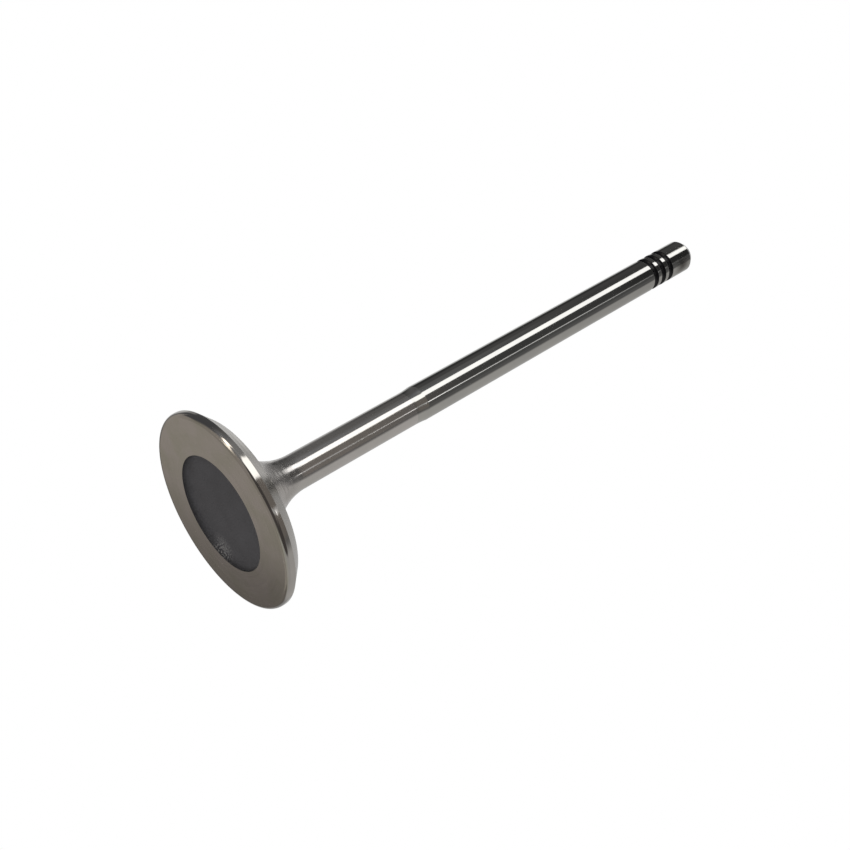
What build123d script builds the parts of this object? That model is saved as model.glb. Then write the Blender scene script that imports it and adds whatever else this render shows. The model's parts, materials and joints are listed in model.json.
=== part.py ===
"""Engine poppet valve, one forged, turned and ground piece.

The valve stands on its head. The origin is the centre of the combustion face, +Z runs up the
stem to the tip, and every feature is round about Z. Sizes are in millimetres.
"""
from build123d import *
from math import cos, radians, sin, tan
import os

# Head
head_dia = 31.4
margin_height = 1.2
face_edge_radius = 0.8
seat_angle = 45.0
seat_width = 2.7

# Forged recess in the combustion face
recess_dia = 18.6
recess_depth = 0.75
recess_wall_radius = 0.7

# Neck between the head and the stem
underhead_angle = 17.0
neck_radius = 9.6
undercut_dia = 5.66

# Stem
overall_length = 107.1
stem_dia = 5.97
guide_start = 38.2
runout_length = 2.4

# Bead grooves that the split keepers close on
groove_count = 3
groove_pitch = 2.13
groove_width = 1.1
groove_depth = 0.42
groove_lip_radius = 0.18
first_groove_from_tip = 6.9

# Tip
tip_bevel_length = 0.95
tip_bevel_depth = 0.6

head_radius = head_dia / 2
recess_radius = recess_dia / 2
undercut_radius = undercut_dia / 2
stem_radius = stem_dia / 2

# The seat cone rises inward from the top of the margin and the flatter under-head cone carries
# on from it. The neck corner is where that cone would meet the undercut stem.
seat_inner_radius = head_radius - seat_width * cos(radians(seat_angle))
seat_top = margin_height + seat_width * sin(radians(seat_angle))
neck_corner_height = seat_top + (seat_inner_radius - undercut_radius) * tan(radians(underhead_angle))

# A bead groove is part of a circle whose centre stands just outside the stem's surface, so that
# the groove is groove_width wide at the surface and groove_depth deep.
bead_radius = ((groove_width / 2) ** 2 + groove_depth**2) / (2 * groove_depth)
bead_centre_radius = stem_radius - groove_depth + bead_radius
groove_heights = [
    overall_length - first_groove_from_tip - index * groove_pitch for index in range(groove_count)
]


def corner(section, radius, height):
    """Corner of a half section at this radius and height."""
    return section.vertices().sort_by_distance((radius, height, 0))[0]


with BuildPart() as valve:
    # Half section of the turned shape, from the face up to the tip
    with BuildSketch(Plane.XZ) as half_section:
        with BuildLine():
            below = Polyline(
                (0, 0),
                (head_radius, 0),
                (head_radius, margin_height),
                (seat_inner_radius, seat_top),
                (undercut_radius, neck_corner_height),
                (undercut_radius, guide_start - runout_length),
            )
            # The undercut curves gently out to meet the guide surface at a sharp corner
            runout = TangentArc(below @ 1, (stem_radius, guide_start), tangent=(0, 1))
            Polyline(
                runout @ 1,
                (stem_radius, overall_length - tip_bevel_length),
                (stem_radius - tip_bevel_depth, overall_length),
                (0, overall_length),
                (0, 0),
            )
        make_face()

        # Keeper grooves, with rounded lips
        with Locations(*[(bead_centre_radius, height) for height in groove_heights]):
            Circle(bead_radius, mode=Mode.SUBTRACT)
        for height in groove_heights:
            lips = [corner(half_section, stem_radius, height + side * groove_width / 2) for side in (-1, 1)]
            fillet(lips, radius=groove_lip_radius)

        # The neck sweeps tangentially from the under-head cone into the undercut stem
        fillet(corner(half_section, undercut_radius, neck_corner_height), radius=neck_radius)
        fillet(corner(half_section, head_radius, 0), radius=face_edge_radius)
    revolve(axis=Axis.Z)

    # Recess with a crisp rim, a curved wall and a flat floor
    with BuildSketch(Plane.XZ) as recess_section:
        with Locations((recess_radius / 2, recess_depth / 2)):
            Rectangle(recess_radius, recess_depth)
        fillet(corner(recess_section, recess_radius, recess_depth), radius=recess_wall_radius)
    revolve(axis=Axis.Z, mode=Mode.SUBTRACT)

valve.part.label = "valve"

os.makedirs("parts", exist_ok=True)
export_step(valve.part, "parts/valve.step")
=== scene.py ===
# %% [markdown]
# # An engine valve
#
# The object is a poppet valve: a round head on a long slim stem, forged and then turned and
# ground. It stands on its head, with the combustion face on the floor and the stem straight up.
# The CAD model gives the frame; this script makes a smoother mesh for it, gives each machined
# zone its own finish, and sets up a small studio with dark and pale cards, because polished
# metal shows little but its surroundings.

# %% Load the frame
import json
import math

import bpy
from mathutils import Matrix, Vector


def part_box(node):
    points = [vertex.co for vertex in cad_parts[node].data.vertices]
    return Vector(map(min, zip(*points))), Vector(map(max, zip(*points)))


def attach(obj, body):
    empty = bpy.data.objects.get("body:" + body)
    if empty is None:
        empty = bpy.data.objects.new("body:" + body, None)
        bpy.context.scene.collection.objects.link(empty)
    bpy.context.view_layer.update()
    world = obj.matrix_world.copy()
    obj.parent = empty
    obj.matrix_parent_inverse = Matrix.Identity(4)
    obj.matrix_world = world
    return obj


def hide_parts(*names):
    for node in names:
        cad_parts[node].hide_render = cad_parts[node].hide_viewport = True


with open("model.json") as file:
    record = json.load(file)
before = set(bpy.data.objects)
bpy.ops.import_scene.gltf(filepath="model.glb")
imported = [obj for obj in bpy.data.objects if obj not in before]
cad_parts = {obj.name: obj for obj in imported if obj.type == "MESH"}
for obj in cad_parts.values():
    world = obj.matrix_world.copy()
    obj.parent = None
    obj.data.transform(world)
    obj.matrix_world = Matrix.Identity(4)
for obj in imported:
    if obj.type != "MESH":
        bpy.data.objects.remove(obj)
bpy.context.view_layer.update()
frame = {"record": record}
low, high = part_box("valve")
MM = 0.001
print("valve box in mm:", [round(c / MM, 2) for c in (*low, *high)])

# %% [markdown]
# ## Sizes
#
# The head's and the stem's main sizes are read from the frame. The rest are the turned
# profile's own sizes, in millimetres, so that the mesh follows the same shape as the solid.

# %% Sizes of the valve
guide = next(m for m in frame["record"]["mounts"] if m["name"] == "stem_guide")
head_radius = high.x / MM
length = high.z / MM
stem_radius = guide["dims"]["r_mm"]

margin_height = 1.2
face_edge_radius = 0.8
seat_width = 2.7
seat_angle = math.radians(45)
recess_radius = 9.3
recess_depth = 0.75
recess_wall_radius = 0.7
underhead_angle = math.radians(17)
neck_radius = 9.6
undercut_radius = 2.83
guide_start = 38.2
runout_length = 2.4
groove_count = 3
groove_pitch = 2.13
groove_width = 1.1
groove_depth = 0.42
lip_radius = 0.18
first_groove_from_tip = 6.9
tip_bevel_length = 0.95
tip_bevel_depth = 0.6

seat_inner_radius = head_radius - seat_width * math.cos(seat_angle)
seat_top = margin_height + seat_width * math.sin(seat_angle)
bead_radius = ((groove_width / 2) ** 2 + groove_depth**2) / (2 * groove_depth)
bead_centre = stem_radius - groove_depth + bead_radius
grooves = sorted(length - first_groove_from_tip - k * groove_pitch for k in range(groove_count))

# The neck's centre lies one neck radius outside the undercut and one above the under-head cone.
neck_centre_radius = undercut_radius + neck_radius
drop = (seat_inner_radius - neck_centre_radius) * math.sin(underhead_angle)
neck_centre_height = seat_top + (neck_radius + drop) / math.cos(underhead_angle)
print(f"head {2 * head_radius:.1f} mm, stem {2 * stem_radius:.2f} mm, length {length:.1f} mm")
print(f"neck ends {neck_centre_height:.2f} mm above the face")

# %% [markdown]
# ## The profile
#
# A turned part is one outline swept round its axis. The outline is a list of stations, each a
# radius and a height. Arcs get a station every few degrees. A straight run gets two extra
# stations just inside its ends, which hold the shading flat along the run and keep the
# highlight from bending at a shallow corner.

# %% Stations of the outline
def arc(centre_radius, centre_height, radius, start, end, steps):
    """Stations along an arc. Angles are in degrees, from the outward direction towards +Z."""
    turns = [math.radians(start + (end - start) * k / steps) for k in range(steps + 1)]
    return [
        (centre_radius + radius * math.cos(turn), centre_height + radius * math.sin(turn))
        for turn in turns
    ]


def held(stations, hold=0.12):
    """Adds a station near each end of every long straight run."""
    result = [stations[0]]
    for (r0, z0), (r1, z1) in zip(stations, stations[1:]):
        run = math.hypot(r1 - r0, z1 - z0)
        if run > 4 * hold:
            k = hold / run
            result.append((r0 + (r1 - r0) * k, z0 + (z1 - z0) * k))
            result.append((r1 - (r1 - r0) * k, z1 - (z1 - z0) * k))
        result.append((r1, z1))
    return result


# Recess wall, from its foot out to the crisp rim
wall_foot = recess_radius - recess_wall_radius
wall_height = recess_depth - recess_wall_radius
outline = arc(wall_foot, wall_height, recess_wall_radius, 90, 0, steps=10)
outline += [(recess_radius, 0)]

# Rounded edge of the face, margin and seat
edge_centre = head_radius - face_edge_radius
outline += arc(edge_centre, face_edge_radius, face_edge_radius, -90, 0, steps=14)
outline += [(head_radius, margin_height), (seat_inner_radius, seat_top)]

# Neck
neck_start = -90 - math.degrees(underhead_angle)
outline += arc(neck_centre_radius, neck_centre_height, neck_radius, neck_start, -180, steps=36)

# Run-out, where the undercut curves out to meet the guide surface at a sharp corner
swell = stem_radius - undercut_radius
runout_radius = (runout_length**2 + swell**2) / (2 * swell)
runout_end = 180 - math.degrees(math.asin(runout_length / runout_radius))
runout_start = guide_start - runout_length
runout_centre = undercut_radius + runout_radius
outline += arc(runout_centre, runout_start, runout_radius, 180, runout_end, steps=8)

# Each keeper groove, with a rounded lip below and above it
lip_centre = stem_radius - lip_radius
lip_offset = math.sqrt((bead_radius + lip_radius) ** 2 - (bead_centre - lip_centre) ** 2)
lip_turn = math.degrees(math.atan2(lip_offset, bead_centre - lip_centre))
for height in grooves:
    outline += arc(lip_centre, height - lip_offset, lip_radius, 0, lip_turn, steps=6)
    outline += arc(bead_centre, height, bead_radius, 180 + lip_turn, 180 - lip_turn, steps=14)[1:-1]
    outline += arc(lip_centre, height + lip_offset, lip_radius, -lip_turn, 0, steps=6)

# Tip
outline += [(stem_radius, length - tip_bevel_length), (stem_radius - tip_bevel_depth, length)]
outline = held(outline)
print("stations along the outline:", len(outline))

# %% [markdown]
# ## Turning the mesh
#
# The first ring is a plain circle at the foot of the recess wall. It is extruded from station
# to station, each time moved up and scaled to the next radius, as a lathe tool follows its
# template. The two open ends, the recess floor and the tip, are filled last.

# %% Turn the valve
def deselect_all():
    bpy.ops.object.select_all(action="DESELECT")


def turned(name, stations, segments):
    """A closed round body through the stations, in millimetres, with its mesh in metres."""
    deselect_all()
    radius, height = stations[0]
    foot = (0, 0, height * MM)
    bpy.ops.mesh.primitive_circle_add(vertices=segments, radius=radius * MM, location=foot)
    piece = bpy.context.object
    piece.name = piece.data.name = name
    bpy.ops.object.transform_apply(location=True, rotation=False, scale=False)
    bpy.ops.object.mode_set(mode="EDIT")
    bpy.ops.mesh.select_all(action="SELECT")
    for next_radius, next_height in stations[1:]:
        rise = (0, 0, (next_height - height) * MM)
        bpy.ops.mesh.extrude_region_move(TRANSFORM_OT_translate={"value": rise})
        grow = next_radius / radius
        bpy.ops.transform.resize(value=(grow, grow, 1), center_override=(0, 0, next_height * MM))
        radius, height = next_radius, next_height
    bpy.ops.mesh.select_all(action="SELECT")
    bpy.ops.mesh.fill_holes(sides=0)
    bpy.ops.mesh.normals_make_consistent(inside=False)
    bpy.ops.object.mode_set(mode="OBJECT")
    bpy.ops.object.shade_smooth_by_angle(angle=sharp_corner)
    return piece


# Corners over 32 degrees stay crisp: the recess rim, the margin, the seat and the bevel
sharp_corner = math.radians(32)
valve = turned("valve_turned", outline, segments=192)
print("faces:", len(valve.data.polygons))

# %% Frame links
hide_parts("valve")
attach(valve, "root")
print(valve.name, "rides on root and stands for the CAD node valve")

# %% [markdown]
# ## Colour and node helpers
#
# Colours are written as sRGB hex values, as in a paint program, and one function turns them
# into the linear numbers that the shaders need. One more function adds a node with its
# settings and its links.

# %% Colour and node helpers
def linear(hex_colour):
    """Linear RGBA of an sRGB hex colour such as "#c4c0ba"."""
    channels = [int(hex_colour[i : i + 2], 16) / 255 for i in (1, 3, 5)]
    return [c / 12.92 if c <= 0.04045 else ((c + 0.055) / 1.055) ** 2.4 for c in channels] + [1.0]


def node(tree, kind, inputs=(), out=0, **settings):
    """Adds a node and returns one of its output sockets.

    Inputs go by name or by number; each is a value, or a socket to link from.
    """
    made = tree.nodes.new("ShaderNode" + kind)
    for key, value in settings.items():
        setattr(made, key, value)
    for key, value in dict(inputs).items():
        if isinstance(value, bpy.types.NodeSocket):
            tree.links.new(value, made.inputs[key])
        else:
            made.inputs[key].default_value = value
    return made.outputs[out] if len(made.outputs) else made


def near(tree, place, spot, reach):
    """1 at a spot given in mm, falling to 0 at its reach."""
    centre = [c * MM for c in spot]
    away = node(tree, "VectorMath", {0: place, 1: centre}, out="Value", operation="DISTANCE")
    limits = {"Value": away, "From Min": reach * MM, "From Max": 0.0}
    return node(tree, "MapRange", limits, interpolation_type="SMOOTHSTEP")


def new_tree(name):
    """An empty material and its node tree."""
    material = bpy.data.materials.new(name)
    material.use_nodes = True
    material.node_tree.nodes.clear()
    return material, material.node_tree


print("mid grey #808080 is", round(linear("#808080")[0], 3), "in linear light")

# %% [markdown]
# ## Machined steel
#
# A valve is one steel from end to end, so what sets its zones apart is how each was cut. A
# lathe leaves fine rings round the axis, and a grinder leaves finer ones. Light that meets such
# rings is smeared across them and stays sharp along them. That is what the anisotropy does:
# the tangent runs round the axis, and a quarter turn makes the smear run across the marks.
#
# The marks themselves are noise that is stretched round the axis and squeezed along it. They
# raise the surface a little and make its roughness uneven, so a highlight shows broken streaks
# and not one smooth band. On the flat face the noise is read by distance from the axis, which
# gives rings. A slow second noise drifts the colour between two close greys, like a thin film.

# %% Machined steel
def machined_steel(
    name, colour, stain, roughness, smear, spacing, depth,
    across=False, span=(0, 1), metal=1.0, dull=None,
):
    """Turned or ground steel, with its sizes in mm.

    Marks of this spacing and depth run round a shaft, or as rings across a flat face. The
    roughness is a pair, for the two heights in span. A dull patch is a spot, its reach and the
    roughness that it adds.
    """
    material, tree = new_tree(name)
    place = node(tree, "TexCoord", out="Object")

    # The marks: rings by distance from the axis, or long streaks round the shaft
    fine = 1 / (spacing * MM)
    ring_drift = 0.06 / MM  # a slow change along each ring of the face
    streak = 0.12 / MM  # and round the shaft
    if across:
        flat = node(tree, "Mapping", {"Vector": place, "Scale": (1, 1, 0)})
        radius = node(tree, "VectorMath", {0: flat}, out="Value", operation="LENGTH")
        rings = node(tree, "CombineXYZ", {"X": radius})
        rings = node(tree, "Mapping", {"Vector": rings, "Scale": (fine, fine, fine)})
        drift = node(tree, "Mapping", {"Vector": place, "Scale": (ring_drift,) * 3})
        rings = node(tree, "VectorMath", {0: rings, 1: drift}, operation="ADD")
    else:
        rings = node(tree, "Mapping", {"Vector": place, "Scale": (streak, streak, fine)})
    marks = node(tree, "TexNoise", {"Vector": rings, "Scale": 1.0, "Detail": 2.0, "Roughness": 0.6})

    # The film: patches some 5 mm across, between the two colours
    film = node(tree, "TexNoise", {"Vector": place, "Scale": 1 / (5 * MM), "Detail": 3.0})
    film = node(tree, "MapRange", {"Value": film, "From Min": 0.38, "From Max": 0.62})
    mixed = {0: film, 6: linear(colour), 7: linear(stain)}
    shade = node(tree, "Mix", mixed, out=2, data_type="RGBA")

    # The roughness: graded along the axis and made uneven by the marks
    height = node(tree, "SeparateXYZ", {"Vector": place}, out="Z")
    limits = {"From Min": span[0] * MM, "From Max": span[1] * MM}
    limits.update({"To Min": roughness[0], "To Max": roughness[1]})
    cut = node(tree, "MapRange", {"Value": height, **limits})
    uneven = 0.15 if across else 0.35
    limits = {"From Min": 0.3, "From Max": 0.7, "To Min": 1 - uneven, "To Max": 1 + uneven}
    wear = node(tree, "MapRange", {"Value": marks, **limits})
    rough = node(tree, "Math", {0: cut, 1: wear}, operation="MULTIPLY")
    if dull:
        # Darker all over, and rougher in blotches just under a millimetre across
        spot, reach, added = dull
        patch = near(tree, place, spot, reach)
        mixed = {0: patch, 6: shade, 7: linear("#6c6965")}
        shade = node(tree, "Mix", mixed, out=2, data_type="RGBA")
        blotch = node(tree, "TexNoise", {"Vector": place, "Scale": 1 / (0.9 * MM), "Detail": 2.0})
        limits = {"From Min": 0.3, "From Max": 0.6, "To Max": added}
        blotch = node(tree, "MapRange", {"Value": blotch, **limits})
        blotch = node(tree, "Math", {0: blotch, 1: patch}, operation="MULTIPLY")
        rough = node(tree, "Math", {0: rough, 1: blotch}, operation="ADD")
    bump = node(tree, "Bump", {"Strength": 0.5, "Distance": depth * MM, "Height": marks})
    tangent = node(tree, "Tangent", direction_type="RADIAL", axis="Z")
    steel = node(
        tree, "BsdfPrincipled",
        {
            "Base Color": shade, "Metallic": metal, "Roughness": rough, "Normal": bump,
            "Anisotropic": smear, "Anisotropic Rotation": 0.25, "Tangent": tangent,
        },
    )
    node(tree, "OutputMaterial", {"Surface": steel})
    return material


# %% [markdown]
# ## The machined zones
#
# Valve steel is a little warmer than pure iron, so every zone starts from the same pale warm
# grey. Real grinding marks are a few micrometres apart. They are drawn 0.15 to 0.35 mm apart,
# the finest that still show in a render, and a fraction of a micrometre deep.

# %% Finishes of the machined zones
finishes = {}

# The face is turned in one light pass: a soft satin, in which the room is only a warm blur.
finishes["turned_face"] = machined_steel(
    "turned_face", "#c8c3bd", "#bfbdb1",
    roughness=(0.14, 0.14), smear=0.3, spacing=0.35, depth=0.0003, across=True,
)
# The rim and its rounding are ground: close to a mirror, which packs the whole room into a line.
finishes["ground_rim"] = machined_steel(
    "ground_rim", "#c6c2bd", "#c0bdb9",
    roughness=(0.11, 0.11), smear=0.4, spacing=0.2, depth=0.0002,
)
# The seat is ground by a coarser wheel at 45 degrees: satin, and so one even grey.
finishes["ground_seat"] = machined_steel(
    "ground_seat", "#bfbbb5", "#b8b5b0",
    roughness=(0.24, 0.24), smear=0.4, spacing=0.2, depth=0.0003,
)
# The neck is turned and brushed by hand where it flares, and left smoother up the undercut, so
# its streaked satin clears to a soft mirror. The brushed skin scatters some light of its own.
satin_top = neck_centre_height + 3
finishes["turned_neck"] = machined_steel(
    "turned_neck", "#d0ccc9", "#cac7c3",
    roughness=(0.38, 0.11), smear=0.75, spacing=0.3, depth=0.0001,
    span=(seat_top, satin_top), metal=0.965,
)
# The stem is ground and plated to run in its guide: the brightest zone, with the sharpest lines.
finishes["ground_stem"] = machined_steel(
    "ground_stem", "#c3c2be", "#bdbcb9",
    roughness=(0.09, 0.09), smear=0.5, spacing=0.15, depth=0.0002,
)
# The tip is hardened and then ground like the stem. A small patch on it has gone dull.
dull_patch = ((1.85, -2.35, 103.8), 2.8, 0.30)
finishes["hardened_tip"] = machined_steel(
    "hardened_tip", "#c7c6c2", "#bebdb9",
    roughness=(0.10, 0.10), smear=0.4, spacing=0.15, depth=0.0002, dull=dull_patch,
)
print("machined finishes:", ", ".join(finishes))

# %% [markdown]
# ## Forged scale
#
# The recess is not machined. It keeps the thin grey-black oxide that grows on hot steel in the
# forge: matt and very finely grainy. Towards the wall it is darkened by painted shade. By the
# wall lies a patch of pale specks where the scale was knocked off, painted pale partly as glints.
# Scale is an oxide and not bare metal, so it isn't metallic. The keeper grooves take a near-black
# version of the same finish, smoother, so it shows one thin glint along the bottom of each groove.

# %% Scale finishes
def forged_scale(name, colour, pale, roughness, gloss, grain, wall=None, knocked_and_glinting=None):
    """Dull oxide, with its sizes in mm.

    It can be darkened by painted shade towards a wall at a radius, and knocked off in specks
    round a spot, given with its reach; the specks are painted pale, partly as glints.
    """
    material, tree = new_tree(name)
    place = node(tree, "TexCoord", out="Object")
    cloud = node(tree, "TexNoise", {"Vector": place, "Scale": 1 / (3 * MM), "Detail": 3.0})
    specks = node(tree, "TexNoise", {"Vector": place, "Scale": 1 / (grain * MM), "Detail": 1.0})
    mottle = node(tree, "Mix", {0: 0.7, 2: cloud, 3: specks})
    mottle = node(tree, "MapRange", {"Value": mottle, "From Min": 0.36, "From Max": 0.64})
    mixed = {0: mottle, 6: linear(colour), 7: linear(pale)}
    shade = node(tree, "Mix", mixed, out=2, data_type="RGBA")
    # Painted shade: the scale's colour darkens towards the wall, as if shade lay in the corner
    if wall:
        flat = node(tree, "Mapping", {"Vector": place, "Scale": (1, 1, 0)})
        radius = node(tree, "VectorMath", {0: flat}, out="Value", operation="LENGTH")
        limits = {"From Min": (wall - 0.45) * MM, "From Max": (wall - 0.10) * MM, "To Max": 0.4}
        painted_shade = node(tree, "MapRange", {"Value": radius, **limits})
        mixed = {0: painted_shade, 6: shade, 7: linear("#171617")}
        shade = node(tree, "Mix", mixed, out=2, data_type="RGBA")
    # Pale specks of knocked-off scale, painted pale partly as glints: partly a painted highlight
    if knocked_and_glinting:
        bare_and_glint = node(tree, "MapRange", {"Value": specks, "From Min": 0.46, "From Max": 0.76})
        bare_and_glint = node(tree, "Math", {0: bare_and_glint, 1: near(tree, place, *knocked_and_glinting)}, operation="MULTIPLY")
        mixed = {0: bare_and_glint, 6: shade, 7: linear("#a3a09d")}
        shade = node(tree, "Mix", mixed, out=2, data_type="RGBA")
    bump = node(tree, "Bump", {"Strength": 0.4, "Distance": 0.01 * MM, "Height": specks})
    skin = node(
        tree, "BsdfPrincipled",
        {
            "Base Color": shade, "Metallic": 0.0, "Roughness": roughness, "Normal": bump,
            "Specular IOR Level": gloss,
        },
    )
    node(tree, "OutputMaterial", {"Surface": skin})
    return material


# Where the pale specks lie by the wall, painted partly as glints
knocked_and_glint_patch = ((4.6, 6.9, 0.5), 3.0)
finishes["forged_scale"] = forged_scale(
    "forged_scale", "#3e3d3f", "#4c4b4e",
    roughness=0.62, gloss=0.35, grain=0.25, wall=recess_radius, knocked_and_glinting=knocked_and_glint_patch,
)
# Near black in and round each groove and on its lips, smoother, with one thin glint along the
# bottom
finishes["black_grooves"] = forged_scale(
    "black_grooves", "#07070a", "#0e0e11", roughness=0.28, gloss=0.30, grain=0.2
)
print("all finishes:", ", ".join(finishes))

# %% [markdown]
# ## Finishes by zone
#
# The mesh is one piece, as the valve is, so each face takes its finish from where it lies on
# the profile. The turned face ends part way round its edge, where the grinding of the rim takes
# over. The blackening runs past each groove on to its lips, further above it than below.

# %% Give each zone its finish
blacked_below = 0.50
blacked_above = 0.66
turned_edge = math.radians(38)
turned_edge_radius = edge_centre + face_edge_radius * math.sin(turned_edge)
turned_edge_height = face_edge_radius * (1 - math.cos(turned_edge))


def zone(radius, height):
    """Name of the finish at a radius and a height on the profile, in mm."""
    if height < recess_depth + 0.01 and radius < recess_radius:
        return "forged_scale"
    if height < turned_edge_height and radius < turned_edge_radius:
        return "turned_face"
    if height < margin_height:
        return "ground_rim"
    if height < seat_top:
        return "ground_seat"
    if height < runout_start:
        return "turned_neck"
    if any(-blacked_below < height - groove < blacked_above for groove in grooves):
        return "black_grooves"
    return "ground_stem" if height < grooves[0] else "hardened_tip"


names = list(finishes)
for name in names:
    valve.data.materials.append(finishes[name])
counts = dict.fromkeys(names, 0)
for face in valve.data.polygons:
    centre = face.center / MM
    name = zone(math.hypot(centre.x, centre.y), centre.z)
    face.material_index = names.index(name)
    counts[name] += 1
print("faces by finish:", counts)

# %% [markdown]
# ## The tent
#
# Polished steel shows its surroundings and little else, so a studio builds them: a tent of
# cloth, with dark cards, pale cards and a few lamps behind it. The long white stripe on the
# stem is a softbox, the hairline beside it is a strip lamp, the dark lanes between them are
# black cards, and the pale lower half is a wall. Here the tent is one big sphere that only
# reflections see, so it lights nothing.

# %% The tent's sphere
tent_reach = 2.0
deselect_all()
bpy.ops.mesh.primitive_uv_sphere_add(segments=96, ring_count=48, radius=tent_reach)
tent = bpy.context.object
tent.name = tent.data.name = "tent"
bpy.ops.object.shade_smooth()
print("tent radius:", tent_reach, "m")

# %% [markdown]
# ## The tent's panels
#
# Each panel is a patch in azimuth and elevation, in degrees, as seen from the valve: azimuth 0
# is the side that the camera stands on, and 90 is +X. A panel has soft edges, and a level at
# which it glows, where 1 is white. A leaning panel's sides shift round the tent as they rise,
# by so many degrees of azimuth per degree of elevation. Later panels lie over earlier ones.
#
# The upright stem shows the band of the tent between elevations 22 and 47, the neck shows what
# is above that, the flat face shows only a small patch behind and below, and the rounded edge
# of the head shows nearly everything in a line a millimetre wide.

# %% Tent panels
# name: azimuth from, to; elevation from, to; softness of sides, foot and top; lean; level; colour
panels = {
    # Overhead: a grey ceiling that falls to black towards the camera
    "dark ceiling edge": (-154, 66, 32, 60, 20, 14, 14, 0.0, 0.065, "#ffffff"),
    "upper lane": (-108, -76, 35, 46, 10, 4, 8, 0.0, 0.086, "#ffffff"),
    "upper edge": (-144, -108, 31, 56, 12, 6, 8, 0.0, 0.045, "#ffffff"),
    "grey ceiling": (-180, 180.1, 60, 91, 0.1, 14, 0.1, 0.0, 0.25, "#ffffff"),
    "ceiling gap": (-34, 46, 60, 86, 24, 8, 4, 0.0, 0.13, "#ffffff"),
    "ceiling fill": (-150, -66, 51, 60, 16, 5, 8, 0.0, 0.15, "#ffffff"),
    "ceiling left": (-128, -62, 64, 78, 20, 8, 8, 0.0, 0.17, "#ffffff"),
    "top lane": (-18, 20, 46, 60, 4, 1.5, 6, 0.0, 0.03, "#ffffff"),
    # Underneath: the glow of the floor
    "low grey": (100, 250, -91, -30, 40, 8, 16, 0.0, 0.30, "#fff6ee"),
    "floor glow": (-152, -44, -86, -40, 16, 8, 12, 0.0, 0.31, "#fff6ee"),
    # In front: black cards, with the softbox's own spill on them
    "dark corner": (-140, -80, -38, 25, 20, 20, 6, 0.0, 0.090, "#f6f8ff"),
    "softbox halo": (-78, -33, -50, 38, 16, 16, 20, 0.29, 0.205, "#f8faff"),
    "corner glow": (-137, -123, 19, 28, 8, 6, 5, 0.0, 0.28, "#ffffff"),
    "softbox spill": (-80, -62, 30, 41, 6, 6, 8, 0.0, 0.145, "#ffffff"),
    "halo core": (-62, -36, -44, 25, 10, 8, 4, 0.0, 0.27, "#ffffff"),
    "warm front": (-28, 54, -36, 33, 12, 12, 8, 0.0, 0.20, "#fff4ea"),
    "dark front": (-40, 74, -86, -34, 16, 8, 14, 0.0, 0.075, "#fff4ee"),
    "dark lane": (28, 46, 33, 54, 6, 5, 10, 0.0, 0.10, "#ffffff"),
    "lane edge": (45, 67, 33, 54, 5, 5, 10, 0.0, 0.13, "#ffffff"),
    # On the right: the pale wall that fills the lower half of the stem
    "pale wall": (67, 146, -30, 90, 18, 12, 30, 0.12, 0.49, "#fffdfa"),
    "wall shade": (70, 150, 42, 60, 14, 14, 12, 0.0, 0.42, "#fffdfa"),
    "pale foot": (82, 144, -64, -16, 12, 8, 12, -0.7, 0.44, "#fffdfa"),
    "dark foot": (44, 83, -62, -12, 8, 8, 12, -0.6, 0.075, "#fff4ee"),
    # Behind: a bright wall above and a warm one below, which the flat face shows
    "dim wall": (142, 190, -34, 2, 10, 10, 12, 0.0, 0.135, "#fff4f0"),
    "dim glow": (147, 169, -31, -17, 8, 8, 4, 0.0, 0.195, "#fff4f0"),
    "back wall": (146, 222.5, 7, 66, 14, 14, 24, 0.0, 0.58, "#ffffff"),
    "back wall foot": (138, 172, -8, 12, 14, 12, 8, 0.0, 0.33, "#ffffff"),
    "back corner": (186, 199, 58, 72, 6, 5, 5, 0.0, 0.75, "#ffffff"),
    "back window": (197, 210, 32, 54, 8, 7, 7, 0.0, 0.86, "#ffffff"),
    "warm side": (196, 225, -34, -4, 10, 10, 14, 0.0, 0.33, "#fff6ee"),
    "warm wall": (178.0, 206, -38, -6, 0.8, 10, 10, 2.0, 0.37, "#fff6ee"),
    # Lamps: the strip lamp, the tall softbox and a low lamp on its arm
    "hairline glow": (20.6, 27.2, -34, 30, 2.5, 10, 5, 0.0, 0.50, "#ffffff"),
    "hairline foot": (23.5, 28.5, 14, 21, 3, 4, 3, 0.0, 2.0, "#ffffff"),
    "hairline lamp": (24.2, 28.6, 34, 46, 2, 4, 7, 0.1, 0.94, "#ffffff"),
    "hairline start": (23.7, 28.1, 33, 35.2, 2, 1, 5, 0.0, 2.6, "#ffffff"),
    "softbox foot": (-38.8, -13.5, -38, 31.5, 4, 14, 2.5, 0.0, 1.9, "#fffffc"),
    "softbox": (-36, -18.4, 25, 49, 3, 3, 2, -0.2, 1.85, "#ffffff"),
    "softbox wing": (-45.7, -30, 25, 49, 3, 3, 2, -0.35, 1.85, "#ffffff"),
    "softbox top": (-45, -18.5, 48, 57, 4, 2, 9, 0.0, 1.85, "#ffffff"),
    "lamp arm": (-126, -86, -63, -58, 14, 3, 3, 0.0, 2.6, "#fff6ea"),
    "low lamp": (-78, -64, -56, -20, 4, 5, 6, 0.6, 2.8, "#fff6ea"),
}
print("tent panels:", ", ".join(panels))

# %% [markdown]
# ## The tent's cloth
#
# The cloth is a plain emission. Its nodes turn a place on the sphere into the two angles, and
# each panel then mixes its own glow over what is there. A panel's cover is the product of
# three soft steps: one for both its sides, one for its foot and one for its top.

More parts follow.
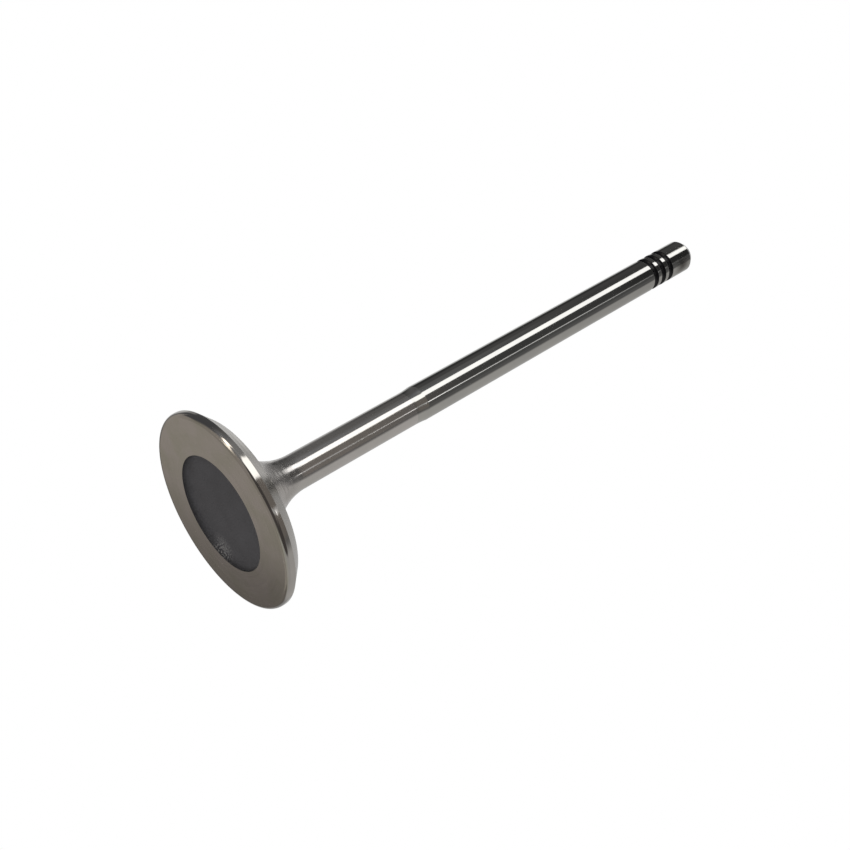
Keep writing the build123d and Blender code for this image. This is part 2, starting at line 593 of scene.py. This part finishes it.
# %% Tent cloth
material, tree = new_tree("tent_cloth")
place = node(tree, "TexCoord", out="Object")
x = node(tree, "SeparateXYZ", {"Vector": place}, out="X")
y = node(tree, "SeparateXYZ", {"Vector": place}, out="Y")
z = node(tree, "SeparateXYZ", {"Vector": place}, out="Z")
toward = node(tree, "Math", {0: y, 1: -1.0}, operation="MULTIPLY")
azimuth = node(tree, "Math", {0: x, 1: toward}, operation="ARCTAN2")
azimuth = node(tree, "Math", {0: azimuth}, operation="DEGREES")
rise = node(tree, "Math", {0: z, 1: tent_reach}, operation="DIVIDE")
elevation = node(tree, "Math", {0: rise}, operation="ARCSINE")
elevation = node(tree, "Math", {0: elevation}, operation="DEGREES")
glow = node(tree, "CombineColor", {"Red": 0.15, "Green": 0.148, "Blue": 0.146})  # bare cloth
for left, right, foot, top, side_soft, foot_soft, top_soft, lean, level, tint in panels.values():
    middle = (foot + top) / 2
    sway = node(tree, "Math", {0: elevation, 1: -lean, 2: lean * middle}, operation="MULTIPLY_ADD")
    off_centre = node(tree, "Math", {0: azimuth, 1: (left + right) / 2}, operation="SUBTRACT")
    off_centre = node(tree, "Math", {0: off_centre, 1: sway}, operation="ADD")
    off_centre = node(tree, "Math", {0: off_centre, 1: 180.0, 2: -180.0}, operation="WRAP")
    off_centre = node(tree, "Math", {0: off_centre}, operation="ABSOLUTE")
    side_edge = (off_centre, (right - left) / 2, -side_soft)
    cover = 1.0
    for angle, edge, soft in (side_edge, (elevation, foot, foot_soft), (elevation, top, -top_soft)):
        limits = {"Value": angle, "From Min": edge - soft / 2, "From Max": edge + soft / 2}
        step = node(tree, "MapRange", limits, interpolation_type="SMOOTHSTEP")
        cover = node(tree, "Math", {0: cover, 1: step}, operation="MULTIPLY")
    panel_glow = [c * level for c in linear(tint)[:3]] + [1.0]
    glow = node(tree, "Mix", {0: cover, 6: glow, 7: panel_glow}, out=2, data_type="RGBA")
node(tree, "OutputMaterial", {"Surface": node(tree, "Emission", {"Color": glow, "Strength": 1.0})})
tent.data.materials.append(material)
material.cycles.emission_sampling = "NONE"  # it lights nothing, so no light rays are aimed at it
tent.visible_camera = tent.visible_diffuse = tent.visible_shadow = False
tent.visible_transmission = tent.visible_volume_scatter = False
print("nodes in the tent cloth:", len(tree.nodes))

# %% [markdown]
# ## The floor
#
# The valve stands on a pale matt table. The camera looks up at the face of the valve from
# below, so the table is made one-sided: rays that meet it from below pass through it, and from
# above it is a plain sheet that keeps the valve's shadow. Further off it fades into the white
# behind it, as a roll of studio paper does where it curves up, so there is no hard horizon.

# %% One-sided table
table_side = 6
table_gap = 0.02 * MM
sweep_start = 0.3
sweep_end = 2.6
deselect_all()
bpy.ops.mesh.primitive_plane_add(size=table_side, location=(0, 0, -table_gap))
table = bpy.context.object
table.name = table.data.name = "table"
material, tree = new_tree("pale_table")
camera_ray = node(tree, "LightPath", out="Is Camera Ray")
below = node(tree, "NewGeometry", out="Backfacing")
seen = node(tree, "Math", {0: camera_ray, 1: below}, operation="SUBTRACT", use_clamp=True)
place = node(tree, "TexCoord", out="Object")
away = node(tree, "VectorMath", {0: place}, out="Value", operation="LENGTH")
limits = {"Value": away, "From Min": sweep_end, "From Max": sweep_start}
sweep = node(tree, "MapRange", limits, interpolation_type="SMOOTHSTEP")
seen = node(tree, "Math", {0: seen, 1: sweep}, operation="MULTIPLY")
matt = node(tree, "BsdfDiffuse", {"Color": linear("#f4f3f1")})
clear = node(tree, "BsdfTransparent")
node(tree, "OutputMaterial", {"Surface": node(tree, "MixShader", {0: seen, 1: clear, 2: matt})})
table.data.materials.append(material)
table.visible_shadow = False
print("table side:", round(table.dimensions.x, 2), "m")

# %% [markdown]
# ## Lamp, camera and world
#
# One soft lamp overhead gives the shadow on the table. Reflections don't see it, because the
# tent already holds every lamp that the steel shows. The world lights matt surfaces evenly from
# all round at 0.8, and is plain white to the camera and in reflections.
#
# The camera is close and below the face, with a longish lens. It looks up the valve and is
# rolled over, so that the stem runs away up to the right.

# %% Overhead lamp
deselect_all()
bpy.ops.object.light_add(type="AREA", location=(-0.5, -0.6, 1.4))
lamp = bpy.context.object
lamp.name = "overhead_lamp"
lamp.data.size = 0.5
lamp.data.energy = 5.0
lamp.rotation_euler = (-lamp.location).to_track_quat("-Z", "Y").to_euler()
lamp.visible_camera = lamp.visible_glossy = False
print("lamp stands", round(lamp.location.length, 2), "m from the valve")

# %% Camera
eye = Vector((0.0, -157.19, -63.24)) * MM
aim = Vector((3.621, 0.0, 37.506)) * MM
roll = math.radians(-59.90)
camera_data = bpy.data.cameras.new("camera")
camera_data.sensor_width = 36
camera_data.lens = 49.63
camera_data.clip_start = 0.005
camera = bpy.data.objects.new("camera", camera_data)
bpy.context.scene.collection.objects.link(camera)
camera.location = eye
camera.rotation_mode = "QUATERNION"
sight = aim - eye
camera.rotation_quaternion = sight.to_track_quat("-Z", "Y")
camera.rotation_quaternion.rotate(Matrix.Rotation(roll, 3, sight.normalized()).to_quaternion())
bpy.context.scene.camera = camera
print("camera to aim:", round(sight.length / MM, 1), "mm")

# %% World
matt_level = 0.8
shown_level = 1.0
world = bpy.data.worlds.new("studio")
world.use_nodes = True
tree = world.node_tree
tree.nodes.clear()
shown = 0.0
for kind_of_ray in ("Is Camera Ray", "Is Glossy Ray", "Is Transmission Ray"):
    ray = node(tree, "LightPath", out=kind_of_ray)
    shown = node(tree, "Math", {0: shown, 1: ray}, operation="MAXIMUM")
level = node(tree, "MapRange", {"Value": shown, "To Min": matt_level, "To Max": shown_level})
sky = node(tree, "Background", {"Color": linear("#ffffff"), "Strength": level})
node(tree, "OutputWorld", {"Surface": sky})
bpy.context.scene.world = world
view = bpy.context.scene.view_settings
view.view_transform = "Standard"
print("world nodes:", len(tree.nodes), "and view transform:", view.view_transform)
